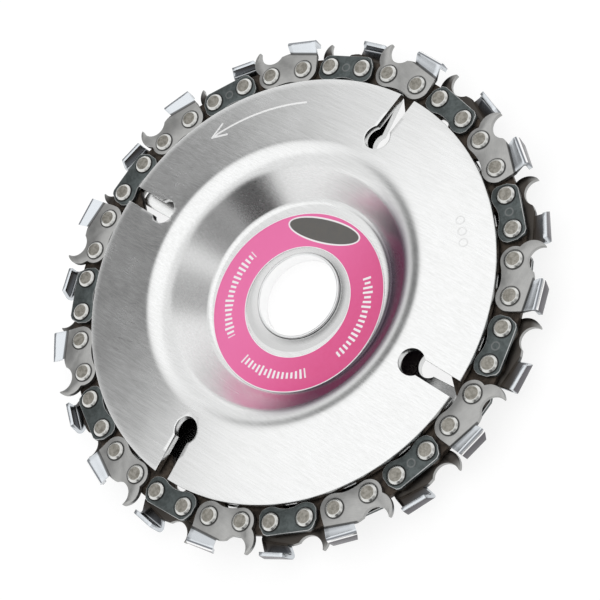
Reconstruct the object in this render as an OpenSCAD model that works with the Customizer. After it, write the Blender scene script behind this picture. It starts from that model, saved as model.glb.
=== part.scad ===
// Chain carving disc for an angle grinder.
// A closed loop of saw chain runs in the groove between two dished steel plates. The loop carries
// its cutters alternately on the label side and on the back side. A collar pressed into the back
// plate centres the front plate and fits the grinder's arbor.
// Millimetres. Z is the disc's axis, up out of the label side. The origin is the middle of the
// flat back of the hub, which seats on the grinder's flange.
// The disc is turned anticlockwise, seen from the label side.

/* [Saw chain] */
// Number of cutters, one to each pair of rivets, an even number
cutters = 22; // [16:2:30]
// Spacing of the two rivets of a cutter or a tie strap
side_pitch = 6.8; // [6:0.05:8]
// Spacing of the two rivets of a drive link
drive_pitch = 5.9; // [5:0.05:7]
// Thickness of a drive link
drive_t = 1.3; // [1.1:0.05:1.6]
// Thickness of a cutter's plate and of a tie strap
link_t = 1; // [0.8:0.05:1.4]
// Gap between a drive link and the link beside it
link_gap = 0.05; // [0.02:0.01:0.15]
// Radius of a side link's ends, which ride on the rims of the plates
seat_r = 2.87; // [2.6:0.01:3.2]
// Gap between the ends of neighbouring side links
end_gap = 0.9; // [0.5:0.05:1.5]
// Turn of the loop from the X axis to the middle of the first cutter
chain_turn = -8; // [-16:0.5:16]
// Height of the loop's middle plane above the back of the hub
chain_z = 6.15; // [5:0.05:8]

/* [Rivets] */
// Radius of the shank in the side links
shank_r = 1.15; // [0.9:0.05:1.3]
// Radius of the barrel that a drive link turns on
barrel_r = 1.5; // [1.35:0.05:1.7]
// Radius of the formed head
head_r = 1.7; // [1.5:0.05:1.9]
// Radius of the flat top of the head
head_top_r = 1.3; // [0.8:0.05:1.5]
// Height of the head
head_h = 0.55; // [0.3:0.05:0.8]
// Radial clearance of a drive link on the barrel
barrel_gap = 0.04; // [0.02:0.01:0.1]
// Radial clearance of a side link on the shank
shank_gap = 0.01; // [0:0.01:0.05]

/* [Tie straps and drive links] */
// Reach of a link past the line of its rivets, away from the disc
link_top = 2.45; // [1.8:0.05:3]
// Reach of a tie strap past its rivet, along the link
strap_end = 2.25; // [1.9:0.05:2.6]
// Depth of the waist of a side link below the line of its rivets
waist = 2.1; // [1.6:0.05:2.6]
// Radius of a drive link's ends
drive_end_r = 2.3; // [2:0.05:2.6]
// Depth of the drive links' tangs below the plates' rims
tang_depth = 4; // [2:0.05:5]
// Width of a tang's tip
tang_tip_w = 1.5; // [0.8:0.1:2]
// Reach of a tang's shoulders past the rivets, along the chain
tang_shoulder = 2.2; // [1.6:0.05:2.4]
// Depth of a tang's shoulders below the line of the rivets
tang_drop = 2.55; // [2.3:0.05:3]

/* [Cutters] */
// Radius of the cutter's leading end
toe_r = 2.6; // [2.2:0.05:2.9]
// Radius of the round gullet
gullet_r = 2.5; // [2:0.05:3]
// Height of the gullet's floor above the line of the rivets
gullet_floor = 2.65; // [2.2:0.05:3]
// Distance of the gullet's middle behind the leading rivet
gullet_behind = 0.2; // [0:0.05:0.8]
// Outer radius of the hooked depth gauge
gauge_r = 3.12; // [2.8:0.02:3.4]
// Height of the middle of the gauge's curve above the line of the rivets
gauge_up = 3.3; // [3:0.05:3.6]
// Distance of the middle of the gauge's curve ahead of the leading rivet
gauge_ahead = 0.45; // [0.2:0.05:0.8]
// Reach of the depth gauge's tip past the circle of the rivets
gauge_reach = 5.84; // [4.8:0.02:6.4]
// Distance of the cutting edge behind the leading rivet
edge_behind = 3.7; // [3.4:0.05:4.2]
// Length of the top plate
top_l = 6.1; // [5:0.1:7]
// Width of the top plate, across the chain
top_w = 3.15; // [2:0.05:4]
// Thickness of the top plate and its leaning wall
top_t = 0.8; // [0.5:0.05:1]
// Height of the top plate's leading corner above the line of the rivets
top_h = 6.4; // [5.6:0.1:7]
// How far the wall leans out at the top plate
flare = 1.05; // [0.3:0.05:1.4]
// Rise of the leaning wall from its crease to the top plate
flare_rise = 2.65; // [2:0.05:3.2]
// Outside radius of the bend between the wall and the top plate
bend_r = 0.8; // [0.6:0.05:1.4]
// Fall of the top plate towards its trailing end, in degrees
relief = 7.5; // [3:0.5:12]
// Slant of the cutting edge across the chain, in degrees
edge_slant = 23; // [10:1:35]

/* [Plates] */
// Running clearance of the side links on the rims
rim_gap = 0.08; // [0.03:0.01:0.15]
// Thickness of the front plate
front_t = 1.5; // [1:0.1:2]
// Thickness of the back plate
back_t = 1.5; // [1:0.1:2]
// Clearance in the groove on each side of a drive link's tang
groove_gap = 0.4; // [0.15:0.05:0.6]
// Slope of the front plate's rim, in degrees
front_slope = 8; // [4:0.5:12]
// Radius where the dish wall would meet the flat floor of the front plate
floor_r = 18.9; // [18:0.1:22]
// Inside radius of the bend at the floor
floor_bend = 1.5; // [1:0.5:6]
// Run of the dish wall, from where it would meet the floor to where it would meet the rim's cone
wall_run = 6.7; // [4:0.1:9]
// Outside radius of the bend at the shoulder, between the wall and the rim's cone
shoulder_bend = 6; // [3:0.5:8]
// How far the back plate's flat hub runs past the flat floor of the front plate
hub_margin = 0.35; // [0.1:0.05:1]
// Radius of the top of the bend between the back plate's hub and its cone
back_bend = 8; // [4:1:12]
// Number of slots in each plate
slots = 4; // [2:1:6]
// Width of a slot
slot_w = 3.25; // [2:0.05:4]
// Radius of the round end of a slot
keyhole_r = 2.5; // [1.8:0.1:3.5]
// Distance from the rim in to the middle of the round end
slot_depth = 9.46; // [7:0.02:12]
// Angle of the first slot of the front plate
slot_turn = 52.5; // [0:0.5:90]
// Angle from the front plate's slots to the back plate's
slot_offset = 3; // [0:0.5:45]

/* [Hub] */
// Radius of the bore for a 5/8 inch arbor
bore_r = 7.94; // [7.9:0.01:8.1]
// Outer radius of the collar
collar_r = 8.45; // [8.3:0.05:9.5]
// Radial clearance of the front plate on the collar
collar_gap = 0.05; // [0.01:0.01:0.1]
// Height of the collar above the front plate
collar_proud = 0.5; // [0:0.05:1.2]
// Chamfer at the collar's mouths
collar_chamfer = 0.2; // [0.05:0.05:0.4]

/* [Label and arrow] */
// Bare steel between the front plate's hole and the label, when the label is centred
label_clear = 2.3; // [1.4:0.05:4]
// Bare floor between the label and the bend at the floor's edge, when the label is centred
label_margin = 0.45; // [0:0.05:3]
// Thickness of the label
label_t = 0.15; // [0.05:0.05:0.3]
// How far the label is stuck off centre
label_shift = 1.2; // [0:0.05:1.4]
// Direction in which it is off centre
label_dir = 257; // [0:1:360]
// Distance from the rim in to the arrow that shows the turning direction
arrow_in = 4.96; // [3:0.02:7]
// Angle of the arrow's tail
arrow_tail = 82.3; // [0:0.1:360]
// Angle from the arrow's tail to its point
arrow_sweep = 32.6; // [10:0.1:90]
// Width of the engraved line
arrow_line = 0.4; // [0.2:0.05:0.8]
// Depth of the engraved line
arrow_depth = 0.15; // [0.05:0.05:0.3]
// Length of the arrow's barbs
barb_l = 3.3; // [2:0.1:5]
// Angle between a barb and the line, in degrees
barb_angle = 26; // [15:1:40]

/* [Hidden] */
$fn = 64;
eps = 0.01;
per_side = cutters / 2;
pair_turn = 360 / cutters;
half_pair = pair_turn / 2;
// The rivets lie on one circle, with the two spacings in turn round it.
rivet_r = sqrt(side_pitch * side_pitch + drive_pitch * drive_pitch
    + 2 * side_pitch * drive_pitch * cos(half_pair)) / (2 * sin(half_pair));
side_half = asin(side_pitch / 2 / rivet_r);
drive_half = asin(drive_pitch / 2 / rivet_r);
side_mid = rivet_r * cos(side_half);
drive_mid = rivet_r * cos(drive_half);
rim_r = rivet_r - seat_r - rim_gap;
gauge_tip_r = rivet_r + gauge_reach;
heel_end = drive_pitch - strap_end - end_gap;
// Heights from the loop's middle plane
side_in = drive_t / 2 + link_gap;
side_out = side_in + link_t;
flare_z = side_out + flare;
// Heights from the back of the hub
groove_half = drive_t / 2 + groove_gap;
front_rim_z = chain_z + groove_half + front_t;
back_rim_z = chain_z - groove_half - back_t;
floor_z = back_t + front_t;
collar_top = floor_z + collar_proud;
front_hole_r = collar_r + collar_gap;
shoulder_r = floor_r + wall_run;
shoulder_z = front_rim_z + (rim_r - shoulder_r) * tan(front_slope);
keyhole_at = rim_r - slot_depth;
arrow_r = rim_r - arrow_in;
gauge_centre = [gauge_up, side_pitch / 2 + gauge_ahead];
gullet_centre = [gullet_floor + gullet_r, side_pitch / 2 - gullet_behind];

// Every name is one node; a pair of rivets carries a cutter on one side and a strap on the other.

// ---- outlines of sheet bends ----

// Points of the arc of the given radius that rounds the corner b of the path a, b, c
function bend(a, b, c, r, steps = 12) =
    let (
        u = (a - b) / norm(a - b),
        v = (c - b) / norm(c - b),
        half = acos(u * v) / 2,
        centre = b + (u + v) / norm(u + v) * r / sin(half),
        from = b + u * r / tan(half) - centre,
        to = b + v * r / tan(half) - centre,
        sweep = 180 - 2 * half,
        way = sign(from.x * to.y - from.y * to.x)
    )
    [for (i = [0:steps]) centre + turned(from, way * sweep * i / steps)];

function turned(p, angle) =
    [p.x * cos(angle) - p.y * sin(angle), p.x * sin(angle) + p.y * cos(angle)];

// Upper and lower corners of the front plate's section; the lower ones keep the sheet's thickness.
wall_angle = atan2(shoulder_z - floor_z, shoulder_r - floor_r);
floor_shift = front_t * tan(wall_angle / 2);
shoulder_shift = front_t * tan((wall_angle + front_slope) / 2);
hole_top = [front_hole_r, floor_z];
floor_top = [floor_r, floor_z];
shoulder_top = [shoulder_r, shoulder_z];
rim_top = [rim_r, front_rim_z];
hole_low = [front_hole_r, back_t];
floor_low = [floor_r + floor_shift, back_t];
shoulder_low = [shoulder_r + shoulder_shift * cos(front_slope) - front_t * sin(front_slope),
    shoulder_z - shoulder_shift * sin(front_slope) - front_t * cos(front_slope)];
rim_low = [rim_r, front_rim_z - front_t / cos(front_slope)];

// The flat of the dish's floor, and the label on it
floor_flat_r = floor_r - floor_bend * tan(wall_angle / 2);
label_in = front_hole_r + label_clear;
label_out = floor_flat_r - label_margin;

// Corners of the back plate's section, whose flat hub runs past the flat of the dish's floor
hub_flat_r = floor_flat_r + hub_margin;
back_hub_r = hub_flat_r + back_bend * tan(atan2(back_rim_z, rim_r - hub_flat_r) / 2);
back_slope = atan2(back_rim_z, rim_r - back_hub_r);
back_low = [back_hub_r, 0];
back_rim_low = [rim_r, back_rim_z];
back_top = [back_hub_r - back_t * tan(back_slope / 2), back_t];
back_rim_top = [rim_r, back_rim_z + back_t / cos(back_slope)];

// ---- plates ----

module slot_cuts(turn) {
    for (i = [0:slots - 1])
        rotate([0, 0, turn + i * 360 / slots])
            translate([0, 0, -1])
                linear_extrude(height = front_rim_z + 5) {
                    translate([keyhole_at, -slot_w / 2])
                        square([rim_r - keyhole_at + 2, slot_w]);
                    translate([keyhole_at, 0])
                        circle(r = keyhole_r);
                }
}

// A small bar laid on the rim's cone at the arrow's radius, with its start at the arrow's point
module cone_bar(length, turn) {
    translate([arrow_r, 0, front_rim_z + (rim_r - arrow_r) * tan(front_slope)])
        rotate([0, front_slope, 0])
            rotate([0, 0, turn])
                translate([-arrow_line / 2, 0, -arrow_depth])
                    cube([arrow_line, length, 1]);
}

module arrow_cuts() {
    rotate([0, 0, arrow_tail])
        rotate_extrude(angle = arrow_sweep, $fn = 180)
            translate([arrow_r, front_rim_z + (rim_r - arrow_r) * tan(front_slope)])
                rotate(-front_slope)
                    translate([-arrow_line / 2, -arrow_depth])
                        square([arrow_line, 1]);
    rotate([0, 0, arrow_tail + arrow_sweep])
        for (side = [-1, 1])
            cone_bar(barb_l, 180 + side * barb_angle);
}

module front_plate() {
    color([0.78, 0.79, 0.80])
        difference() {
            rotate_extrude($fn = 180)
                polygon(concat(
                    [hole_top],
                    bend(hole_top, floor_top, shoulder_top, floor_bend),
                    bend(floor_top, shoulder_top, rim_top, shoulder_bend),
                    [rim_top, rim_low],
                    bend(rim_low, shoulder_low, floor_low, shoulder_bend - front_t),
                    bend(shoulder_low, floor_low, hole_low, floor_bend + front_t),
                    [hole_low]
                ));
            slot_cuts(slot_turn);
            arrow_cuts();
        }
}

module back_plate() {
    color([0.70, 0.71, 0.72])
        difference() {
            rotate_extrude($fn = 180)
                polygon(concat(
                    [[collar_r, 0]],
                    bend([collar_r, 0], back_low, back_rim_low, back_bend + back_t, 6),
                    [back_rim_low, back_rim_top],
                    bend(back_rim_top, back_top, [collar_r, back_t], back_bend, 6),
                    [[collar_r, back_t]]
                ));
            slot_cuts(slot_turn + slot_offset);
        }
}

module hub_collar() {
    color([0.82, 0.83, 0.84])
        difference() {
            cylinder(r = collar_r, h = collar_top);
            translate([0, 0, -1])
                cylinder(r = bore_r, h = collar_top + 2);
            for (end = [0, 1])
                translate([0, 0, end * collar_top])
                    mirror([0, 0, end])
                        translate([0, 0, -eps])
                            cylinder(r1 = bore_r + collar_chamfer, r2 = bore_r, h = collar_chamfer);
        }
}

// A ring off the axis, cut out of a thin skin that follows the dish's floor and the bend at its edge
module label() {
    skin = concat([[label_in - label_shift - 1, floor_z]],
        bend(hole_top, floor_top, shoulder_top, floor_bend), [shoulder_top]);
    color([0.92, 0.36, 0.64])
        intersection() {
            rotate_extrude($fn = 180)
                polygon(concat(skin, [for (i = [len(skin) - 1:-1:0]) skin[i] + [0, label_t]]));
            translate([label_shift * cos(label_dir), label_shift * sin(label_dir), floor_z - 1])
                difference() {
                    cylinder(r = label_out, h = front_rim_z);
                    translate([0, 0, -1])
                        cylinder(r = label_in, h = front_rim_z + 2);
                }
        }
}

// ---- chain ----
// A link's own axes: X away from the disc, Y the way the chain runs, Z from the middle plane.

// Puts a side link at its pair of rivets; back = 1 turns it over to the back of the chain.
module at_pair(index, back) {
    rotate([0, 0, chain_turn + index * pair_turn])
        translate([side_mid, 0, chain_z])
            mirror([0, 0, back])
                children();
}

module rivet_holes(pitch, r) {
    for (side = [-1, 1])
        translate([0, side * pitch / 2])
            circle(r = r);
}

// Keeps an outline clear of the plates' rims, which lie inwards of the link.
module clear_of_rim() {
    difference() {
        children();
        translate([-side_mid, 0])
            circle(r = rim_r + rim_gap, $fn = 360);
    }
}

module waist_cut() {
    waist_bow = 3;
    translate([-waist - waist_bow, 0])
        circle(r = waist_bow);
}

module strap_outline() {
    end_y = side_pitch / 2 + strap_end;
    corner = [[link_top, end_y - 1.55], [link_top - 0.35, end_y - 0.8], [0.5, end_y], [-1.4, end_y],
        [-seat_r - 0.3, end_y - 1.6]];
    intersection() {
        union() {
            for (side = [-1, 1])
                translate([0, side * side_pitch / 2])
                    circle(r = seat_r);
            translate([-seat_r + 0.5, -side_pitch / 2])
                square([link_top + seat_r - 0.5, side_pitch]);
        }
        polygon(concat(corner, [for (i = [len(corner) - 1:-1:0]) [corner[i].x, -corner[i].y]]));
    }
}

module tie_strap(index, back) {
    color([0.22, 0.25, 0.28])
        at_pair(index, back)
            translate([0, 0, side_in])
                linear_extrude(height = link_t)
                    difference() {
                        clear_of_rim()
                            strap_outline();
                        waist_cut();
                        rivet_holes(side_pitch, shank_r + shank_gap);
                    }
}

// The flat plate of a cutter, from its heel to the hooked depth gauge
module cutter_outline() {
    heel_y = -side_pitch / 2 - heel_end;
    clear_of_rim()
        intersection() {
            difference() {
                union() {
                    translate([0, side_pitch / 2])
                        circle(r = toe_r);
                    translate([0, -side_pitch / 2])
                        circle(r = seat_r);
                    translate(gauge_centre)
                        circle(r = gauge_r);
                    polygon([
                        [-seat_r + 0.5, side_pitch / 2],
                        [gullet_floor, side_pitch / 2 + 1],
                        [top_h - flare_rise + 0.6, 0],
                        [top_h - flare_rise - top_l * tan(relief) + 0.4, heel_y - 0.2],
                        [-0.6, heel_y],
                        [-seat_r + 0.5, -side_pitch / 2]
                    ]);
                }
                translate(gullet_centre)
                    circle(r = gullet_r);
                polygon([
                    gullet_centre + [-gullet_r + 1, -gullet_r + 0.2],
                    [gullet_centre.x, 0],
                    [gullet_centre.x + 9, 0],
                    [gullet_centre.x + 9, gullet_centre.y + 1],
                    gullet_centre
                ]);
                waist_cut();
                rivet_holes(side_pitch, shank_r + shank_gap);
            }
            translate([-side_mid, 0])
                circle(r = gauge_tip_r, $fn = 360);
        }
}

// Section of the leaning wall, the bend and the top plate: X up from the crease, Y across the chain
module cutter_section() {
    bend_at = [flare_rise - bend_r, flare_z - bend_r];
    polygon([
        [-0.6, side_in], [-0.6, side_out], [0, side_out], [bend_at.x, flare_z],
        [bend_at.x, flare_z - top_t], [0.3, side_in]
    ]);
    difference() {
        translate(bend_at)
            circle(r = bend_r);
        translate(bend_at - [bend_r, bend_r])
            square([bend_r + bend_r - top_t, bend_r + bend_r - top_t]);
    }
    translate([flare_rise - top_t, flare_z - top_w])
        square([top_t, top_w - bend_r]);
}

module cutter(index, back) {
    crease_h = top_h - flare_rise;
    edge_y = side_pitch / 2 - edge_behind;
    color([0.72, 0.73, 0.73])
        at_pair(index, back) {
            translate([0, 0, side_in])
                linear_extrude(height = link_t)
                    cutter_outline();
            difference() {
                translate([crease_h, edge_y, 0])
                    rotate([0, 0, -relief])
                        rotate([90, 0, 0])
                            linear_extrude(height = top_l)
                                cutter_section();
                translate([0, edge_y, flare_z])
                    rotate([-90 + edge_slant, 0, 0])
                        translate([-1, -5, 0])
                            cube([20, 20, 10]);
            }
        }
}

module drive_link(index) {
    drive_tip = rim_r - tang_depth - drive_mid;
    shoulder_y = drive_pitch / 2 + tang_shoulder;
    color([0.30, 0.26, 0.23])
        rotate([0, 0, chain_turn + (index + 0.5) * pair_turn])
            translate([drive_mid, 0, chain_z - drive_t / 2])
                linear_extrude(height = drive_t)
                    difference() {
                        union() {
                            for (side = [-1, 1])
                                translate([0, side * drive_pitch / 2])
                                    circle(r = drive_end_r);
                            polygon([
                                [link_top - 0.2, -drive_pitch / 2], [link_top - 0.2, drive_pitch / 2],
                                [-1, shoulder_y], [-tang_drop, shoulder_y], [drive_tip, tang_tip_w / 2],
                                [drive_tip, -tang_tip_w / 2], [-tang_drop, -shoulder_y], [-1, -shoulder_y]
                            ]);
                        }
                        rivet_holes(drive_pitch, barrel_r + barrel_gap);
                    }
}

module rivet(index, end) {
    head_z = side_out + head_h;
    half = [[0, head_z], [head_top_r, head_z], [head_r, side_out + head_h * 0.4], [head_r, side_out],
        [shank_r, side_out], [shank_r, side_in], [barrel_r, side_in]];
    color([0.66, 0.65, 0.62])
        rotate([0, 0, chain_turn + index * pair_turn + end * side_half])
            translate([rivet_r, 0, chain_z])
                rotate_extrude($fn = 48)
                    polygon(concat(half, [for (i = [len(half) - 1:-1:0]) [half[i].x, -half[i].y]]));
}

module drive_links(first) {
    for (i = [0:per_side - 1])
        drive_link(2 * i + first);
}

module rivets(end) {
    for (i = [0:cutters - 1])
        rivet(i, end);
}

back_plate();
hub_collar();
front_plate();
label();
for (i = [1:per_side]) {
    cutter(2 * i - 2, 0);
    cutter(2 * i - 1, 1);
    tie_strap(2 * i - 1, 0);
    tie_strap(2 * i - 2, 1);
}
drive_links(0);  // drive_links_a
drive_links(1);  // drive_links_b
rivets(1);  // rivets_leading
rivets(-1);  // rivets_trailing
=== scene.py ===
"""Looks of a chain carving disc: two steel plates, a collar, a ring label and a loop of saw chain.

Lengths are written in millimetres and angles in degrees, and they become metres and radians where
Blender takes them. A link's own axes are X away from the disc, Y the way the chain runs, and Z out
from the loop's middle plane.
"""

import math

import bmesh
import bpy
from mathutils import Matrix, Vector


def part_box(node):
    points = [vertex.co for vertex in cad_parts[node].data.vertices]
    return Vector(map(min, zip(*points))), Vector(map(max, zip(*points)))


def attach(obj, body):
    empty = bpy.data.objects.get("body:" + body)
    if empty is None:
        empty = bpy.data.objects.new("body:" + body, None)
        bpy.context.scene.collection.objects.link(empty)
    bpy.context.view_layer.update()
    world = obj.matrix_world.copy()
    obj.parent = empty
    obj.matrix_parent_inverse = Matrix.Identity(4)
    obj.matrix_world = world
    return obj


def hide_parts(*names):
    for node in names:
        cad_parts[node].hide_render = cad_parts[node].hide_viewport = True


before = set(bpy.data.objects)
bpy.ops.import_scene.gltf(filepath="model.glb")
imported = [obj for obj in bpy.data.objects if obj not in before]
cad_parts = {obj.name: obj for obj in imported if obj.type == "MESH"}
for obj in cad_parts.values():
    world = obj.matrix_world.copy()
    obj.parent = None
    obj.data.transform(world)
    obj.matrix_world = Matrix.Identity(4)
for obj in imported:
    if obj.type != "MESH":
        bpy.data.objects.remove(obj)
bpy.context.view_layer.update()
MM = 0.001


def in_mm(corners):
    """A box's two corners in millimetres."""
    return [[value / MM for value in corner] for corner in corners]


# ---- sizes that the frame gives ----

FRONT_BOX = in_mm(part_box("front_plate"))
COLLAR_BOX = in_mm(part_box("hub_collar"))
LABEL_BOX = in_mm(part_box("label"))
DRIVE_BOX = in_mm(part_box("drive_links_a"))
RIVET_BOX = in_mm(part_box("rivets_leading"))

SHEET = 1.5
CHAIN_Z = (DRIVE_BOX[0][2] + DRIVE_BOX[1][2]) / 2
DRIVE_T = DRIVE_BOX[1][2] - DRIVE_BOX[0][2]
RIVET_HALF = (RIVET_BOX[1][2] - RIVET_BOX[0][2]) / 2
COLLAR_R = COLLAR_BOX[1][0]
COLLAR_TOP = COLLAR_BOX[1][2]
FLOOR_Z = LABEL_BOX[0][2]
LABEL_CENTRE = [(LABEL_BOX[0][i] + LABEL_BOX[1][i]) / 2 for i in range(2)]
LABEL_OUT = (LABEL_BOX[1][0] - LABEL_BOX[0][0]) / 2

# ---- sizes of the plates ----

RIM_R = 41.556
BORE_R = 7.94
GROOVE_HALF = 1.05
FRONT_SLOPE = 8
SHOULDER_R = 25.6
SHOULDER_BEND = 6
DISH_FLOOR_R = 18.9
FLOOR_BEND = 1.5
BACK_HUB_R = 19.2
BACK_BEND = 8
SLOTS = 4
SLOT_W = 3.25
KEYHOLE_R = 2.5
KEYHOLE_AT = 32.1
SLOT_TURN = 52.5
SLOT_OFFSET = 3
COLLAR_GAP = 0.05
EDGE_ROUND = 0.18
CUT_BEVEL = 0.12
FRONT_RIM_Z = CHAIN_Z + GROOVE_HALF + SHEET
SHOULDER_Z = FRONT_RIM_Z + (RIM_R - SHOULDER_R) * math.tan(math.radians(FRONT_SLOPE))
WALL_SLOPE = math.atan2(SHOULDER_Z - FLOOR_Z, SHOULDER_R - DISH_FLOOR_R)
LABEL_IN = 10.8
LABEL_T = 0.15

# ---- marks and a painted shade on the front plate, and print on the label ----

GRAIN_TURN = -36
SCRATCH_TURN = -20
ARROW_R = 36.6
ARROW_TAIL = 82.3
ARROW_SWEEP = 32.6
ARROW_HALF_LINE = 0.13
BARB_L = 3.3
BARB_ANGLE = 26
PUNCH_R = 35.7
PUNCH_TURN = 6
PUNCH_STEP = 3.6
PUNCH_RING_R = 0.75
HUB_RING_R = 11
# Where the painted shade at the foot of the dish wall lies: the angle of its middle, the angles off it
# where it is full and where it has faded, and the radii where it rises and where it falls away.
WALL_SHADE_TURN = -34
WALL_SHADE_HALF = (40, 80)
WALL_SHADE_INNER = (17.7, 18.9)
WALL_SHADE_OUTER = (23.8, 26.4)
TICK_R = 14.45
TICK_STEP = 3.7
# Each row of ticks is the angle of its middle and half of its span.
TICK_ROWS = ((163.8, 35), (-111.3, 28), (-23.3, 33))
BADGE_CENTRE = (5.6, 13.25)
BADGE_TURN = -23.2
BADGE_HALVES = (8.0, 2.5)
BADGE_BORDER = 0.32

# ---- sizes of the chain ----

CUTTERS = 22
SIDE_PITCH = 6.8
DRIVE_PITCH = 5.9
CHAIN_TURN = -8
LINK_T = 1.0
LINK_GAP = 0.05
RIM_GAP = 0.1
PAIR_TURN = 360 / CUTTERS
RIVET_R = math.sqrt(
    SIDE_PITCH**2 + DRIVE_PITCH**2
    + 2 * SIDE_PITCH * DRIVE_PITCH * math.cos(math.radians(PAIR_TURN / 2))
) / (2 * math.sin(math.radians(PAIR_TURN / 2)))
SIDE_HALF = math.degrees(math.asin(SIDE_PITCH / 2 / RIVET_R))
SIDE_MID = RIVET_R * math.cos(math.radians(SIDE_HALF))
DRIVE_MID = math.sqrt(RIVET_R**2 - DRIVE_PITCH**2 / 4)
SIDE_IN = DRIVE_T / 2 + LINK_GAP
SIDE_OUT = SIDE_IN + LINK_T
SEAT_R = RIVET_R - RIM_R - RIM_GAP

# ---- camera ----

CAMERA_AIM = (1.805, -2.301, 6.15)
CAMERA_DISTANCE = 393.76
CAMERA_AZIMUTH = 47.857
CAMERA_ELEVATION = 56.417
CAMERA_ROLL = -52.988
CAMERA_LENS = 128.28

# ---- floor ----

FLOOR_HALF = 3000
FLOOR_DROP = 0.05
FLOOR_GLOW = 0.79

# ---- brightness of the tent, where 1 is white ----

HORIZON = 1.2
SIDES = 1.0
OVERHEAD = 1.29
OVERHEAD_WAY = (-0.05, 0.05, 1.0)
# Where the overhead light has faded, and where it is full
OVERHEAD_EDGE = (38, 30)
# Each is a direction, the angles where it is full and where it has faded, and its brightness.
DIM_PLACES = (
    ((-0.62, 0.43, 0.66), 4, 26, 0.19),
    ((0.12, -0.91, 0.35), 10, 25, 0.02),
    ((0.62, -0.62, 0.46), 7, 23, 0.3),
    ((0.92, 0.15, 0.33), 8, 22, 0.5),
    ((0.17, -0.14, 0.97), 5, 20, 0.7),
)


def place_camera():
    """Looks down on the label side from the fitted angle, with the frame rolled."""
    azimuth, elevation, roll = (
        math.radians(a) for a in (CAMERA_AZIMUTH, CAMERA_ELEVATION, CAMERA_ROLL)
    )
    back = Vector((
        math.cos(elevation) * math.sin(azimuth),
        -math.cos(elevation) * math.cos(azimuth),
        math.sin(elevation),
    ))
    level = Vector((0, 0, 1)).cross(back).normalized()
    upright = back.cross(level)
    right = level * math.cos(roll) + upright * math.sin(roll)
    up = upright * math.cos(roll) - level * math.sin(roll)
    data = bpy.data.cameras.new("camera")
    data.lens = CAMERA_LENS
    data.sensor_width = 36
    data.clip_start = 0.01
    camera = bpy.data.objects.new("camera", data)
    where = (Vector(CAMERA_AIM) + back * CAMERA_DISTANCE) * MM
    turn = Matrix((right, up, back)).transposed().to_4x4()
    camera.matrix_world = Matrix.Translation(where) @ turn
    bpy.context.collection.objects.link(camera)
    bpy.context.scene.camera = camera


# ---- shader sums ----


class Field:
    """One socket of a node tree. Sums of fields add Math nodes."""

    def __init__(self, tree, socket):
        self.tree = tree
        self.socket = socket

    def node(self, kind, settings=None, inputs=None, output=0):
        """Adds a node, sets what it is first and then its inputs, and gives one of its outputs."""
        made = self.tree.nodes.new(kind)
        for name, value in (settings or {}).items():
            setattr(made, name, value)
        for name, value in (inputs or {}).items():
            if isinstance(value, Field):
                self.tree.links.new(value.socket, made.inputs[name])
            else:
                made.inputs[name].default_value = value
        return Field(self.tree, made.outputs[output])

    def math(self, operation, *others):
        """A Math node on this value and the others."""
        inputs = dict(enumerate((self, *others)))
        return self.node("ShaderNodeMath", {"operation": operation}, inputs)

    def vector(self, operation, *values, output=0):
        """A Vector Math node on this field and these vectors."""
        inputs = dict(enumerate((self, *values)))
        return self.node("ShaderNodeVectorMath", {"operation": operation}, inputs, output)

    def length(self):
        """The length of this vector."""
        return self.vector("LENGTH", output=1)

    def dot(self, other):
        """This vector's dot product with another."""
        return self.vector("DOT_PRODUCT", other, output=1)

    def turn(self):
        """The angle of this vector round the Z axis, in radians."""
        return self.part(1).math("ARCTAN2", self.part(0))

    def scaled(self, factor):
        """This vector times a number."""
        settings = {"operation": "SCALE"}
        return self.node("ShaderNodeVectorMath", settings, {0: self, "Scale": factor})

    def part(self, axis):
        """One component of this vector: 0, 1 or 2."""
        return self.node("ShaderNodeSeparateXYZ", None, {0: self}, axis)

    def ramp(self, low, high, start=0.0, end=1.0):
        """start below low, end above high, and a smooth step between."""
        settings = {"interpolation_type": "SMOOTHSTEP"}
        inputs = {"Value": self, "From Min": low, "From Max": high, "To Min": start, "To Max": end}
        return self.node("ShaderNodeMapRange", settings, inputs)

    def __add__(self, other):
        return self.math("ADD", other)

    __radd__ = __add__

    def __sub__(self, other):
        return self.math("SUBTRACT", other)

    def __rsub__(self, other):
        return self * -1 + other

    def __mul__(self, other):
        return self.math("MULTIPLY", other)

    __rmul__ = __mul__

    def __truediv__(self, other):
        return self.math("DIVIDE", other)


def mixed(factor, first, second):
    """The first colour where factor is 0 and the second where it is 1."""
    settings = {"data_type": "RGBA", "clamp_factor": True}
    return factor.node("ShaderNodeMix", settings, {0: factor, 6: first, 7: second}, 2)


def noise(place, scale, detail=3.0, roughness=0.5, offset=0.0):
    """Cloudy values from 0 to 1. Scale is clouds per unit of place."""
    moved = place.vector("ADD", (offset, offset, offset))
    inputs = {"Vector": moved, "Scale": scale, "Detail": detail, "Roughness": roughness}
    return place.node("ShaderNodeTexNoise", {"noise_dimensions": "3D"}, inputs)


def grain(place, angle, along, across, detail=2.0, offset=0.0):
    """Fine lines that run at an angle in the XY plane. Along and across are lines per millimetre."""
    turned = place.node(
        "ShaderNodeMapping",
        {"vector_type": "TEXTURE"},
        {"Vector": place, "Rotation": (0, 0, math.radians(angle))},
    )
    stretched = turned.vector("MULTIPLY", (along, across, across))
    return noise(stretched, 1.0, detail, 0.6, offset)


def bump(height, distance, strength=1.0):
    """A normal from a height field from 0 to 1, for a relief of distance millimetres."""
    inputs = {"Height": height, "Distance": distance * MM, "Strength": strength}
    return height.node("ShaderNodeBump", None, inputs)


def along_axes(x, y=0.0, z=0.0):
    """A vector from its components."""
    return x.node("ShaderNodeCombineXYZ", None, {0: x, 1: y, 2: z})


def grey(value):
    """A neutral colour."""
    return (value, value, value, 1)


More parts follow.
